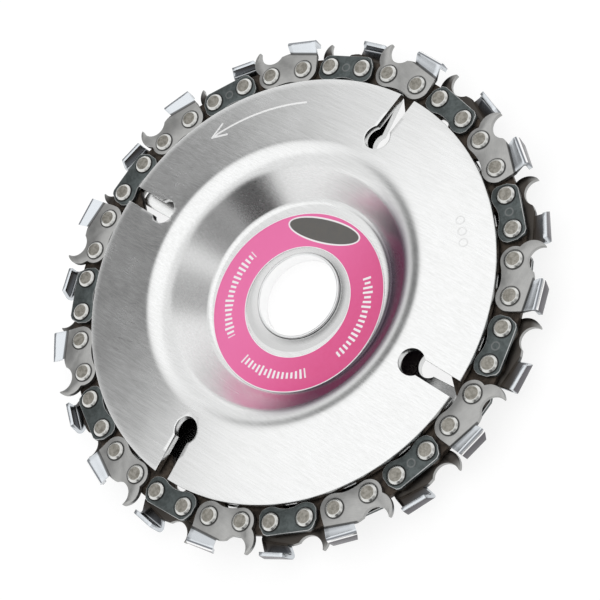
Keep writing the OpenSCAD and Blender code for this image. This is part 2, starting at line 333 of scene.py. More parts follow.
class Finish:
    """A new material with its shader and its places in millimetres."""

    def __init__(self, name):
        self.material = bpy.data.materials.new(name)
        self.material.use_nodes = True
        tree = self.material.node_tree
        self.shader = tree.nodes["Principled BSDF"]
        coordinates = tree.nodes.new("ShaderNodeTexCoord")
        self.place = Field(tree, coordinates.outputs["Object"]).scaled(1 / MM)
        self.facing = Field(tree, coordinates.outputs["Normal"])

    def attribute(self, name, output="Vector"):
        """A value that the mesh carries."""
        settings = {"attribute_name": name, "attribute_type": "GEOMETRY"}
        return self.place.node("ShaderNodeAttribute", settings, None, output)

    def cover(self, factor, colour):
        """Lays a dull film of one colour over the shader, as thick as the factor says."""
        tree = self.material.node_tree
        film = tree.nodes.new("ShaderNodeBsdfPrincipled")
        film.inputs["Base Color"].default_value = colour
        film.inputs["Roughness"].default_value = 0.8
        film.inputs["Specular IOR Level"].default_value = 0.0
        both = tree.nodes.new("ShaderNodeMixShader")
        tree.links.new(factor.socket, both.inputs[0])
        tree.links.new(self.shader.outputs[0], both.inputs[1])
        tree.links.new(film.outputs[0], both.inputs[2])
        tree.links.new(both.outputs[0], tree.nodes["Material Output"].inputs["Surface"])

    def set(self, **values):
        """Sets the shader's inputs; an underscore in a name stands for a space."""
        for name, value in values.items():
            socket = self.shader.inputs[name.replace("_", " ")]
            if isinstance(value, Field):
                value.tree.links.new(value.socket, socket)
            else:
                socket.default_value = value
        return self.material


def segment_mask(spot, start, end, half_width, soft):
    """1 on a straight stroke from start to end in the XY plane, 0 away from it."""
    start, end = Vector((*start, 0)), Vector((*end, 0))
    way = end - start
    rest = spot.vector("SUBTRACT", tuple(start))
    clamped = rest.dot(tuple(way / way.length_squared)).math("MAXIMUM", 0).math("MINIMUM", 1)
    nearest = spot.node(
        "ShaderNodeVectorMath", {"operation": "SCALE"}, {0: tuple(way), "Scale": clamped}
    )
    distance = rest.vector("SUBTRACT", nearest).length()
    return distance.ramp(half_width, half_width + soft, 1.0, 0.0)


def polar(radius, angle):
    """The point at a radius and an angle, in the XY plane."""
    return (radius * math.cos(math.radians(angle)), radius * math.sin(math.radians(angle)))


def flattened(place):
    """The same place with no height."""
    return place.vector("MULTIPLY", (1, 1, 0))


# ---- finishes ----


def arrow_mask(place):
    """The engraved turning arrow, as a mask."""
    soft = 0.11
    flat = flattened(place)
    middle = math.radians(ARROW_TAIL + ARROW_SWEEP / 2)
    half = math.radians(ARROW_SWEEP / 2)
    off_line = (flat.length() - ARROW_R).math("ABSOLUTE")
    off_middle = (flat.turn() - middle).math("ABSOLUTE")
    line = off_line.ramp(ARROW_HALF_LINE, ARROW_HALF_LINE + soft, 1.0, 0.0)
    arrow = line * off_middle.ramp(half - 0.002, half + 0.002, 1.0, 0.0)
    point_angle = ARROW_TAIL + ARROW_SWEEP
    point = polar(ARROW_R, point_angle)
    for side in (-1, 1):
        way = polar(BARB_L, point_angle - 90 + side * BARB_ANGLE)
        end = (point[0] + way[0], point[1] + way[1])
        arrow = arrow.math("MAXIMUM", segment_mask(flat, point, end, ARROW_HALF_LINE, soft))
    return arrow


def punch_marks(place):
    """Three small rings stamped in a row near the rim, as a mask."""
    flat = flattened(place)
    marks = None
    for step in (-1, 0, 1):
        centre = polar(PUNCH_R, PUNCH_TURN + step * PUNCH_STEP)
        away = flat.vector("DISTANCE", (*centre, 0), output=1)
        ring = (away - PUNCH_RING_R).math("ABSOLUTE").ramp(0.06, 0.2, 1.0, 0.0)
        marks = ring if marks is None else marks.math("MAXIMUM", ring)
    return marks


def dish_wall_shade(place):
    """A painted shade, dark and faintly purple like a dim reflection, at the foot of one side of the
    dish wall, as a mask.
    """
    flat = flattened(place)
    radius = flat.length()
    off = (flat.turn() - math.radians(WALL_SHADE_TURN)).math("WRAP", math.pi, -math.pi).math("ABSOLUTE")
    beside = off.ramp(*(math.radians(a) for a in WALL_SHADE_HALF), 1.0, 0.0)
    return beside * radius.ramp(*WALL_SHADE_INNER) * radius.ramp(*WALL_SHADE_OUTER, 1.0, 0.0)


def plate_steel(name, marked):
    """Satin sheet steel: a straight grain, cloudy haze and stray scratches.

    The marked plate also has the arrow and the punched rings, a painted shade at the foot of one side
    of its dish wall, a darker ring at its hub and a painted shade on its underside.
    """
    finish = Finish(name)
    place = finish.place
    lines = grain(place, GRAIN_TURN, 0.10, 3.2)
    fine = grain(place, GRAIN_TURN, 0.25, 8.0, 2.0, 11.0)
    haze = noise(place, 0.09, 4.0, 0.6, 3.0)
    speckle = noise(place, 2.4, 2.0, 0.5, 7.0)
    scratches = grain(place, SCRATCH_TURN, 0.05, 2.2, 1.0, 23.0).ramp(0.70, 0.76)
    tone = 0.45 * lines + 0.25 * fine + 0.20 * haze + 0.10 * speckle
    base = mixed(tone.ramp(0.25, 0.75), (0.67, 0.675, 0.67, 1), (0.80, 0.805, 0.805, 1))
    rough = 0.15 + 0.13 * haze + 0.07 * lines - 0.05 * scratches
    relief = 0.55 * lines + 0.35 * fine + 0.06 * speckle - 0.1 * scratches
    if marked:
        # Painted shade: one side of the dish wall's foot is darkened and tinted purple, like a dim
        # reflection.
        wall_shade = dish_wall_shade(place)
        base = mixed(0.7 * wall_shade, base, (0.14, 0.085, 0.14, 1))
        hub = flattened(place).length().ramp(HUB_RING_R - 0.1, HUB_RING_R + 0.1, 0.6, 0.0)
        base = mixed(hub, base, grey(0.52))
        # Painted shade: the plate's downward faces are made nearly black.
        under = finish.facing.part(2).ramp(-0.6, -0.4, 1.0, 0.0)
        base = mixed(under, base, (0.035, 0.030, 0.026, 1))
        arrow = arrow_mask(place)
        punched = punch_marks(place)
        base = mixed(arrow * 0.9, base, grey(0.95))
        base = mixed(punched * 0.25, base, grey(0.45))
        rough = rough + 0.25 * arrow
        relief = relief - 1.6 * arrow - 2.2 * punched
        # A dull dark film over the same painted shade.
        finish.cover(0.62 * wall_shade, (0.030, 0.014, 0.032, 1))
    return finish.set(
        Base_Color=base, Roughness=rough, Metallic=1.0, Normal=bump(relief, 0.02, 0.35)
    )


def collar_steel(name):
    """Turned steel with fine rings."""
    finish = Finish(name)
    place = finish.place
    radius = flattened(place).length()
    rings = noise(along_axes(radius * 9.0, place.part(2) * 9.0), 1.0, 2.0)
    haze = noise(place, 0.4, 3.0)
    base = mixed(0.5 * rings + 0.5 * haze, (0.66, 0.67, 0.67, 1), (0.84, 0.85, 0.85, 1))
    base = mixed(radius.ramp(BORE_R + 0.02, BORE_R + 0.1, 0.9, 0.0), base, grey(0.97))
    return finish.set(
        Base_Color=base, Roughness=0.22 + 0.16 * haze, Metallic=1.0, Normal=bump(rings, 0.02, 0.4)
    )


def label_print(name):
    """Glossy pink print with white borders, a plain grey oval badge and rows of white ticks, and a
    painted shade that darkens the pink towards the lower right.
    """
    finish = Finish(name)
    spot = flattened(finish.place).vector("SUBTRACT", (*LABEL_CENTRE, 0))
    radius = spot.length()
    fibres = noise(finish.place, 1.1, 4.0, 0.6)
    # Painted shade: the pink grows darker towards the lower right.
    shaded_side = spot.dot((0.78, -0.63, 0)).ramp(-10, 17)
    pink = mixed(shaded_side, (0.86, 0.155, 0.40, 1), (0.72, 0.055, 0.225, 1))
    pink = mixed(0.25 * fibres, pink, (0.90, 0.20, 0.46, 1))
    white = (0.93, 0.90, 0.92, 1)
    outer = radius.ramp(LABEL_OUT - 0.22, LABEL_OUT - 0.16)
    borders = outer.math("MAXIMUM", radius.ramp(LABEL_IN + 0.14, LABEL_IN + 0.20, 1.0, 0.0))
    ink = mixed(borders, pink, white)
    ticks = None
    for middle, half_span in TICK_ROWS:
        row = tick_row(spot, middle, half_span)
        ticks = row if ticks is None else ticks.math("MAXIMUM", row)
    ink = mixed(ticks, ink, white)
    badge = mixed(fibres, grey(0.085), (0.115, 0.105, 0.09, 1))
    ink = mixed(oval(spot, *BADGE_HALVES), ink, white)
    ink = mixed(oval(spot, *(half - BADGE_BORDER for half in BADGE_HALVES)), ink, badge)
    scuffs = noise(finish.place, 0.5, 5.0, 0.7, 5.0)
    return finish.set(
        Base_Color=ink, Roughness=0.30 + 0.2 * scuffs, Coat_Weight=0.25, Coat_Roughness=0.2,
        Normal=bump(fibres, 0.01, 0.3),
    )


def tick_row(spot, middle, half_span):
    """A row of short white ticks of uneven length along part of the ring, as a mask."""
    span = math.radians(half_span)
    off = (spot.turn() - math.radians(middle)).math("WRAP", math.pi, -math.pi)
    inside = off.math("ABSOLUTE").ramp(span - 0.01, span + 0.01, 1.0, 0.0)
    count = off / math.radians(TICK_STEP)
    chance = spot.node(
        "ShaderNodeTexWhiteNoise", {"noise_dimensions": "1D"}, {"W": count.math("FLOOR") + middle}
    )
    bar = (count.math("FRACT") - 0.5).math("ABSOLUTE").ramp(0.20, 0.27, 1.0, 0.0)
    tall = (spot.length() - TICK_R).math("ABSOLUTE") - 0.45 * chance
    return inside * bar * tall.ramp(0.52, 0.60, 1.0, 0.0)


def oval(spot, half_length, half_width):
    """The slanted oval badge, as a mask."""
    rest = spot.vector("SUBTRACT", (*BADGE_CENTRE, 0))
    along = rest.dot((*polar(1 / half_length, BADGE_TURN), 0))
    across = rest.dot((*polar(1 / half_width, BADGE_TURN + 90), 0))
    return (along * along + across * across).ramp(0.97, 1.03, 1.0, 0.0)


def rivet_shade_and_oil(link):
    """A dark ring round each rivet's head, as a mask: painted shade in the corner, with dark oil."""
    across = link.part(1).math("ABSOLUTE") - SIDE_PITCH / 2
    away = along_axes(link.part(0), across).length()
    return away.ramp(HEAD_R + 0.12, HEAD_R + 0.34, 1.0, 0.0)


def cutter_plating(name):
    """Plated cutter steel: satin flats, with painted light: a painted shade line along the crease, a
    painted dark reflection band and a painted highlight on the bends, painted dark reflections on the
    outer faces and painted shade on the inner faces.
    """
    finish = Finish(name)
    link = finish.attribute("link")
    chance = finish.attribute("variety", "Fac")
    lines = grain(link, 70, 0.4, 7.0)
    mottle = noise(link.vector("ADD", along_axes(chance * 90.0)), 0.7, 4.0, 0.6)
    tone = 0.6 * mottle + 0.4 * lines
    base = mixed(tone.ramp(0.2, 0.8), (0.32, 0.32, 0.315, 1), (0.42, 0.42, 0.41, 1))
    past = link.part(0) - (CREASE_H + CREASE_DROP / TOP_L * (link.part(1) - EDGE_Y))
    behind = link.part(1).ramp(EDGE_Y + 0.1, EDGE_Y + 0.4, 1.0, 0.0)
    wall = past.ramp(0.0, 0.25) * behind
    crease = (past - 0.1).math("ABSOLUTE").ramp(0.16, 0.36, 1.0, 0.0) * behind
    radial = flattened(finish.place).vector("NORMALIZE")
    outward = finish.facing.dot(radial)
    inward = finish.facing.part(2) * link.part(2).math("SIGN")
    base = mixed(wall, base, (0.62, 0.65, 0.68, 1))
    # Painted dark reflection: a dark band where the top plate starts to face outward.
    dark_reflection_band = outward.ramp(0.12, 0.28) * outward.ramp(0.50, 0.62, 1.0, 0.0)
    base = mixed(0.8 * wall * dark_reflection_band, base, (0.10, 0.105, 0.12, 1))
    # Painted highlight: a near-white band on the bend of the top plate.
    base = mixed(wall * outward.ramp(0.55, 0.7), base, grey(0.9))
    # Painted dark reflection on the top plate's outer face.
    base = mixed(wall * outward.ramp(0.90, 0.96), base, (0.115, 0.11, 0.12, 1))
    # Painted shade: a dark line along the crease.
    base = mixed(0.85 * crease, base, grey(0.06))
    # Painted shade round the rivet heads, with dark oil.
    base = mixed(0.9 * rivet_shade_and_oil(link), base, grey(0.03))
    # Painted shade: the faces turned in towards the chain's middle are made nearly black, less so
    # towards the top.
    inner_face_shade = inward.ramp(-0.7, -0.4, 1.0, 0.0) * link.part(0).ramp(3.4, 5.6, 1.0, 0.35)
    base = mixed(0.92 * inner_face_shade, base, (0.030, 0.024, 0.019, 1))
    rough = 0.28 + 0.12 * mottle - 0.15 * wall + 0.05 * chance
    return finish.set(
        Base_Color=base, Roughness=rough, Metallic=1.0, Normal=bump(0.5 * lines + mottle, 0.02, 0.3)
    )


def blued_steel(name):
    """Blue-black oxide on the tie straps, worn to bare metal along the bevels, with a stamped mark."""
    finish = Finish(name)
    link = finish.attribute("link")
    chance = finish.attribute("variety", "Fac")
    shifted = link.vector("ADD", along_axes(chance * 70.0))
    mottle = noise(shifted, 0.9, 4.0, 0.65)
    fine = noise(shifted, 6.0, 2.0, 0.5)
    steep = finish.facing.part(2).math("ABSOLUTE")
    bevel = steep.ramp(0.2, 0.3) * steep.ramp(0.92, 0.96, 1.0, 0.0)
    worn = noise(shifted, 1.8, 5.0, 0.7, 9.0).ramp(0.62, 0.74)
    away = flattened(link).length()
    stamp = (away - STAMP_RING_R).math("ABSOLUTE").ramp(0.07, 0.2, 1.0, 0.0) * chance.ramp(0.2, 0.25)
    base = mixed(mottle.ramp(0.3, 0.7), (0.060, 0.070, 0.070, 1), (0.100, 0.116, 0.116, 1))
    base = mixed((0.9 * bevel).math("MAXIMUM", 0.2 * worn), base, grey(0.62))
    base = mixed(0.3 * stamp, base, grey(0.30))
    # Painted shade round the rivet heads, with dark oil.
    base = mixed(0.9 * rivet_shade_and_oil(link), base, grey(0.012))
    return finish.set(
        Base_Color=base, Roughness=0.32 + 0.14 * fine, Metallic=0.85,
        Normal=bump(0.4 * fine + 0.3 * mottle - 1.4 * stamp, 0.03, 0.4),
    )


def brown_oxide(name):
    """Dark brown, oiled oxide on the drive links."""
    finish = Finish(name)
    place = finish.place
    mottle = noise(place, 0.8, 4.0, 0.6)
    fine = noise(place, 5.0, 3.0, 0.6)
    base = mixed(mottle.ramp(0.3, 0.7), (0.018, 0.014, 0.011, 1), (0.070, 0.055, 0.043, 1))
    return finish.set(
        Base_Color=base, Roughness=0.38 + 0.2 * fine, Metallic=0.8, Normal=bump(fine, 0.03, 0.5)
    )


def rivet_nickel(name):
    """Rivet heads: satin, faintly brown on the flat tops and bright on the bevels."""
    finish = Finish(name)
    link = finish.attribute("link")
    chance = finish.attribute("variety", "Fac")
    away = flattened(link).length()
    shifted = link.vector("ADD", along_axes(chance * 50.0))
    mottle = noise(shifted, 1.6, 4.0, 0.65)
    flat_top = away.ramp(HEAD_TOP_R - 0.12, HEAD_TOP_R + 0.02, 1.0, 0.0)
    base = mixed(mottle.ramp(0.3, 0.7), (0.20, 0.19, 0.165, 1), (0.36, 0.345, 0.31, 1))
    base = mixed(1.0 - flat_top, base, (0.66, 0.66, 0.64, 1))
    rough = 0.16 + 0.20 * flat_top + 0.12 * mottle
    return finish.set(
        Base_Color=base, Roughness=rough, Metallic=1.0, Normal=bump(mottle, 0.04, 0.5)
    )


# ---- outlines ----


def arc(centre, radius, start, end, steps=12):
    """Points of an arc from one angle to another."""
    return [
        (
            centre[0] + radius * math.cos(math.radians(start + (end - start) * i / steps)),
            centre[1] + radius * math.sin(math.radians(start + (end - start) * i / steps)),
        )
        for i in range(steps + 1)
    ]


def angle_of(centre, point):
    """The direction of a point from a centre, in degrees."""
    return math.degrees(math.atan2(point[1] - centre[1], point[0] - centre[0]))


def crossing(first, first_r, second, second_r, side):
    """Where two circles cross: side 1 is on the left, seen from the first centre to the second."""
    a, b = Vector(first), Vector(second)
    gap = (b - a).length
    along = (gap**2 + first_r**2 - second_r**2) / (2 * gap)
    across = math.sqrt(first_r**2 - along**2)
    way = (b - a) / gap
    return tuple(a + way * along + Vector((-way.y, way.x)) * across * side)


def bend(before, corner, after, radius, steps=12):
    """Points of the arc that rounds a corner of a path."""
    corner = Vector(corner)
    u = (Vector(before) - corner).normalized()
    v = (Vector(after) - corner).normalized()
    half = math.acos(max(-1, min(1, u.dot(v)))) / 2
    centre = corner + (u + v).normalized() * radius / math.sin(half)
    start = corner + u * radius / math.tan(half) - centre
    end = corner + v * radius / math.tan(half) - centre
    way = 1 if start.x * end.y - start.y * end.x > 0 else -1
    sweep = way * (math.pi - 2 * half)
    points = []
    for i in range(steps + 1):
        turn = sweep * i / steps
        points.append((
            centre.x + start.x * math.cos(turn) - start.y * math.sin(turn),
            centre.y + start.x * math.sin(turn) + start.y * math.cos(turn),
        ))
    return points


# ---- meshes ----


def in_scene(name, mesh):
    """A new object of this mesh, in the scene."""
    piece = bpy.data.objects.new(name, mesh)
    bpy.context.collection.objects.link(piece)
    return piece


def as_object(name, bm):
    """A mesh object from a finished bmesh."""
    mesh = bpy.data.meshes.new(name)
    bm.to_mesh(mesh)
    bm.free()
    return in_scene(name, mesh)


def mesh_from(name, bm):
    """A mesh object from a bmesh in millimetres, with its doubles merged and its faces outwards."""
    bmesh.ops.remove_doubles(bm, verts=bm.verts, dist=1e-4)
    bmesh.ops.recalc_face_normals(bm, faces=bm.faces)
    bmesh.ops.scale(bm, vec=(MM, MM, MM), verts=bm.verts)
    return as_object(name, bm)


def turned_rows(bm, section, steps):
    """Rows of new vertices: a section of (radius, height) points, turned round the Z axis."""
    rows = []
    for i in range(steps):
        turn = 2 * math.pi * i / steps
        rows.append([bm.verts.new((r * math.cos(turn), r * math.sin(turn), z)) for r, z in section])
    return rows


def revolve(name, section, steps=288):
    """A closed section of (radius, height) points turned round the Z axis."""
    bm = bmesh.new()
    rings = turned_rows(bm, section, steps)
    for i, ring in enumerate(rings):
        following = rings[(i + 1) % steps]
        for j in range(len(section)):
            k = (j + 1) % len(section)
            bm.faces.new((ring[j], following[j], following[k], ring[k]))
    return mesh_from(name, bm)


def slab(name, outline, low, high):
    """A flat piece with an outline in the XY plane, between two heights."""
    bm = bmesh.new()
    lower = [bm.verts.new((x, y, low)) for x, y in outline]
    upper = [bm.verts.new((x, y, high)) for x, y in outline]
    bm.faces.new(lower)
    bm.faces.new(upper)
    for i in range(len(outline)):
        k = (i + 1) % len(outline)
        bm.faces.new((lower[i], lower[k], upper[k], upper[i]))
    return mesh_from(name, bm)


def loft(name, sections):
    """A closed solid through sections with the same number of points each."""
    bm = bmesh.new()
    rows = [[bm.verts.new(point) for point in section] for section in sections]
    for row, following in zip(rows, rows[1:]):
        for j in range(len(row)):
            k = (j + 1) % len(row)
            bm.faces.new((row[j], following[j], following[k], row[k]))
    bm.faces.new(rows[0])
    bm.faces.new(rows[-1])
    return mesh_from(name, bm)


def with_modifier(piece, kind, **settings):
    """Adds a modifier with these settings."""
    modifier = piece.modifiers.new(kind.lower(), kind)
    for name, value in settings.items():
        setattr(modifier, name, value)
    return modifier


def baked(piece, name, sharp=30):
    """The piece's evaluated shape as a new plain object. The old object goes."""
    evaluated = piece.evaluated_get(bpy.context.evaluated_depsgraph_get())
    mesh = bpy.data.meshes.new_from_object(evaluated)
    mesh.name = name
    result = in_scene(name, mesh)
    bpy.data.objects.remove(piece)
    mesh.shade_smooth()
    mesh.set_sharp_from_angle(angle=math.radians(sharp))
    return result


def joined(name, pieces):
    """One object that holds the meshes of several."""
    bm = bmesh.new()
    for piece in pieces:
        bm.from_mesh(piece.data)
    result = as_object(name, bm)
    for piece in pieces:
        bpy.data.objects.remove(piece)
    return result


def turned_over(piece, name):
    """A copy of a link's piece for the other side of the chain."""
    bm = bmesh.new()
    bm.from_mesh(piece.data)
    bmesh.ops.scale(bm, vec=(1, 1, -1), verts=bm.verts)
    bmesh.ops.reverse_faces(bm, faces=bm.faces)
    return as_object(name, bm)


# ---- copies round the disc's axis ----

RING_INPUTS = (
    ("Copies", "NodeSocketInt"),
    ("Radius", "NodeSocketFloat"),
    ("Height", "NodeSocketFloat"),
    ("First Turn", "NodeSocketFloat"),
    ("Step", "NodeSocketFloat"),
    ("Seed", "NodeSocketInt"),
    ("Copy", "NodeSocketObject"),
    ("Finish", "NodeSocketMaterial"),
)


def ring_tree():
    """Geometry Nodes that set copies of one piece on a ring, each with its own chance value."""
    tree = bpy.data.node_groups.new("copies_on_a_ring", "GeometryNodeTree")
    tree.interface.new_socket(name="Geometry", in_out="OUTPUT", socket_type="NodeSocketGeometry")
    for name, kind in RING_INPUTS:
        tree.interface.new_socket(name=name, in_out="INPUT", socket_type=kind)
    start = tree.nodes.new("NodeGroupInput")
    given = {name: Field(tree, start.outputs[name]) for name, _ in RING_INPUTS}
    index = Field(tree, tree.nodes.new("GeometryNodeInputIndex").outputs[0])
    turn = given["First Turn"] + index * given["Step"]
    where = along_axes(
        given["Radius"] * turn.math("COSINE"), given["Radius"] * turn.math("SINE"), given["Height"]
    )
    facing = turn.node("ShaderNodeCombineXYZ", None, {2: turn})
    points = index.node("GeometryNodePoints", None, {"Count": given["Copies"], "Position": where})
    chance = index.node(
        "FunctionNodeRandomValue", {"data_type": "FLOAT"}, {"ID": index, "Seed": given["Seed"]}, 1
    )
    chanced = points.node(
        "GeometryNodeStoreNamedAttribute",
        {"data_type": "FLOAT", "domain": "POINT"},
        {"Geometry": points, "Name": "variety", "Value": chance},
    )
    copy = index.node("GeometryNodeObjectInfo", None, {"Object": given["Copy"]}, "Geometry")
    spot = Field(tree, tree.nodes.new("GeometryNodeInputPosition").outputs[0])
    kept = copy.node(
        "GeometryNodeStoreNamedAttribute",
        {"data_type": "FLOAT_VECTOR", "domain": "POINT"},
        {"Geometry": copy, "Name": "link", "Value": spot.scaled(1 / MM)},
    )
    copies = chanced.node(
        "GeometryNodeInstanceOnPoints", None, {"Points": chanced, "Instance": kept, "Rotation": facing}
    )
    real = copies.node("GeometryNodeRealizeInstances", None, {"Geometry": copies})
    finished = real.node(
        "GeometryNodeSetMaterial", None, {"Geometry": real, "Material": given["Finish"]}
    )
    end = tree.nodes.new("NodeGroupOutput")
    tree.links.new(finished.socket, end.inputs[0])
    return tree


RING = ring_tree()


def ring_of(name, copy, finish, copies, radius, height, first, step, seed=1):
    """A plain mesh of copies on a ring. The piece that is copied goes."""
    holder = in_scene(name + "_maker", bpy.data.meshes.new(name + "_maker"))
    modifier = holder.modifiers.new("ring", "NODES")
    modifier.node_group = RING
    values = {
        "Copies": copies,
        "Radius": radius * MM,
        "Height": height * MM,
        "First Turn": math.radians(first),
        "Step": math.radians(step),
        "Seed": seed,
        "Copy": copy,
        "Finish": finish,
    }
    for item in RING.interface.items_tree:
        if item.in_out == "INPUT":
            modifier[item.identifier] = values[item.name]
    result = baked(holder, name)
    bpy.data.objects.remove(copy)
    return result


# ---- plates ----


def front_section():
    """The front plate's section: hub floor, dish wall, shoulder and sloping rim."""
    slope = math.radians(FRONT_SLOPE)
    floor_shift = SHEET * math.tan(WALL_SLOPE / 2)
    shoulder_shift = SHEET * math.tan((WALL_SLOPE + slope) / 2)
    hole = COLLAR_R + COLLAR_GAP
    top = [(hole, FLOOR_Z), (DISH_FLOOR_R, FLOOR_Z), (SHOULDER_R, SHOULDER_Z), (RIM_R, FRONT_RIM_Z)]
    low = [
        (hole, FLOOR_Z - SHEET),
        (DISH_FLOOR_R + floor_shift, FLOOR_Z - SHEET),
        (
            SHOULDER_R + shoulder_shift * math.cos(slope) - SHEET * math.sin(slope),
            SHOULDER_Z - shoulder_shift * math.sin(slope) - SHEET * math.cos(slope),
        ),
        (RIM_R, FRONT_RIM_Z - SHEET / math.cos(slope)),
    ]
    return (
        bend(low[0], top[0], top[1], EDGE_ROUND, 3)
        + bend(top[0], top[1], top[2], FLOOR_BEND, 20)
        + bend(top[1], top[2], top[3], SHOULDER_BEND, 24)
        + bend(top[2], top[3], low[3], EDGE_ROUND, 3)
        + bend(top[3], low[3], low[2], EDGE_ROUND, 3)
        + bend(low[3], low[2], low[1], SHOULDER_BEND - SHEET, 16)
        + bend(low[2], low[1], low[0], FLOOR_BEND + SHEET, 16)
        + bend(low[1], low[0], top[0], EDGE_ROUND, 3)
    )


def back_section():
    """The back plate's section: flat hub and shallow cone."""
    rim_z = CHAIN_Z - GROOVE_HALF - SHEET
    slope = math.atan2(rim_z, RIM_R - BACK_HUB_R)
    low = [(COLLAR_R, 0), (BACK_HUB_R, 0), (RIM_R, rim_z)]
    top = [
        (COLLAR_R, SHEET),
        (BACK_HUB_R - SHEET * math.tan(slope / 2), SHEET),
        (RIM_R, rim_z + SHEET / math.cos(slope)),
    ]
    return (
        bend(top[0], low[0], low[1], EDGE_ROUND, 3)
        + bend(low[0], low[1], low[2], BACK_BEND + SHEET, 8)
        + bend(low[1], low[2], top[2], EDGE_ROUND, 3)
        + bend(low[2], top[2], top[1], EDGE_ROUND, 3)
        + bend(top[2], top[1], top[0], BACK_BEND, 8)
        + bend(top[1], top[0], low[0], EDGE_ROUND, 3)
    )


def filled_in(section, step=1.2):
    """The section with extra points on its long straight stretches, so that its faces stay short."""
    points = []
    for i, here in enumerate(section):
        there = section[(i + 1) % len(section)]
        length = math.dist(here, there)
        parts = max(1, int(length / step))
        points += [
            (here[0] + (there[0] - here[0]) * j / parts, here[1] + (there[1] - here[1]) * j / parts)
            for j in range(parts)
        ]
    return points


def keyhole_outline():
    """A slot's outline from its round end, which is centred on the origin, out past the rim."""
    half = SLOT_W / 2
    reach = RIM_R - KEYHOLE_AT + 2
    mouth = math.degrees(math.asin(half / KEYHOLE_R))
    return arc((0, 0), KEYHOLE_R, mouth, 360 - mouth, 40) + [(reach, -half), (reach, half)]


def slotted(name, section, first_turn, finish):
    """A plate with its slots cut and its cut edges eased."""
    plate = revolve(name + "_blank", filled_in(section))
    keyhole = slab("keyhole", keyhole_outline(), -1, FRONT_BOX[1][2] + 2)
    cuts = ring_of("slot_cuts", keyhole, finish, SLOTS, KEYHOLE_AT, 0, first_turn, 360 / SLOTS)
    with_modifier(plate, "BOOLEAN", operation="DIFFERENCE", object=cuts, solver="EXACT")
    with_modifier(
        plate, "BEVEL", width=CUT_BEVEL * MM, segments=2, limit_method="ANGLE",
        angle_limit=math.radians(50),
    )
    plate.data.materials.append(finish)
    result = baked(plate, name, 40)
    bpy.data.objects.remove(cuts)
    return result


def collar(finish):
    """The pressed collar, with its lip rolled slightly at the top."""
    section = (
        bend((COLLAR_R, 2), (COLLAR_R, COLLAR_TOP), (BORE_R, COLLAR_TOP), 0.2, 5)
        + bend((COLLAR_R, COLLAR_TOP), (BORE_R, COLLAR_TOP), (BORE_R, 2), 0.2, 5)
        + bend((BORE_R, 2), (BORE_R, 0), (COLLAR_R, 0), 0.15, 3)
        + bend((BORE_R, 0), (COLLAR_R, 0), (COLLAR_R, 2), 0.1, 3)
    )
    piece = revolve("arbor_collar", filled_in(section), 160)
    piece.data.materials.append(finish)
    return baked(piece, "arbor_collar")


def floor_height(radius):
    """Height of the dish's floor and of the bend at its edge."""
    past = radius - (DISH_FLOOR_R - FLOOR_BEND * math.tan(WALL_SLOPE / 2))
    if past <= 0:
        return FLOOR_Z
    return FLOOR_Z + FLOOR_BEND - math.sqrt(FLOOR_BEND**2 - past**2)


def ring_label(finish):
    """The thin printed ring, stuck off centre, so that its edge climbs the bend of the floor."""
    section = (
        [(LABEL_IN, 0), (LABEL_OUT, 0)]
        + bend((LABEL_OUT, 0), (LABEL_OUT, LABEL_T), (LABEL_IN, LABEL_T), 0.06, 3)
        + bend((LABEL_OUT, LABEL_T), (LABEL_IN, LABEL_T), (LABEL_IN, 0), 0.06, 3)
    )
    piece = revolve("ring_label_blank", filled_in(section, 0.6), 220)
    for vertex in piece.data.vertices:
        vertex.co.x += LABEL_CENTRE[0] * MM
        vertex.co.y += LABEL_CENTRE[1] * MM
        vertex.co.z += floor_height(vertex.co.xy.length / MM) * MM
    piece.data.materials.append(finish)
    return baked(piece, "ring_label")


# ---- chain ----

WAIST = 2.1
HEEL_END = 2.75
LINK_TOP = 2.45
STRAP_END = 2.25
TOE_R = 2.6
GULLET_R = 2.5
GULLET_CENTRE = (5.15, 3.2)
GAUGE_R = 3.12
GAUGE_CENTRE = (3.3, 3.85)
GAUGE_TIP_R = 50.35
TOP_L = 6.0
TOP_W = 3.15
TOP_T = 0.8
TOP_H = 6.4
TOP_DROP = 0.78
CREASE_H = 3.95
CREASE_DROP = 1.5
FLARE = 1.05
BEND_R = 0.8
EDGE_Y = -0.3
EDGE_SLANT = 23
TANG_TIP_R = RIM_R - 4
TANG_TIP_W = 1.5
SHOULDER_Y = DRIVE_PITCH / 2 + 2.2
SHOULDER_DROP = 2.55
DRIVE_END_R = 2.3
DRIVE_TOP = 2.1
HEAD_R = 1.7
HEAD_TOP_R = 1.3
HEAD_DROP = 0.34
STAMP_RING_R = 0.72
# Widths of the links' eased edges
FLAT_BEVEL = 0.14
TOP_BEVEL = 0.07
STRAP_BEVEL = 0.2
DRIVE_BEVEL = 0.08


def waist(lobe_r, side):
    """The hollow under a side link, from its middle to where it meets the lobe on one side."""
    half = SIDE_PITCH / 2
    bow = (WAIST**2 + half**2 - lobe_r**2) / (2 * (lobe_r - WAIST))
    end = math.degrees(math.atan2(side * half, WAIST + bow))
    return arc((-WAIST - bow, 0), bow, 0, end, 6), 180 + end


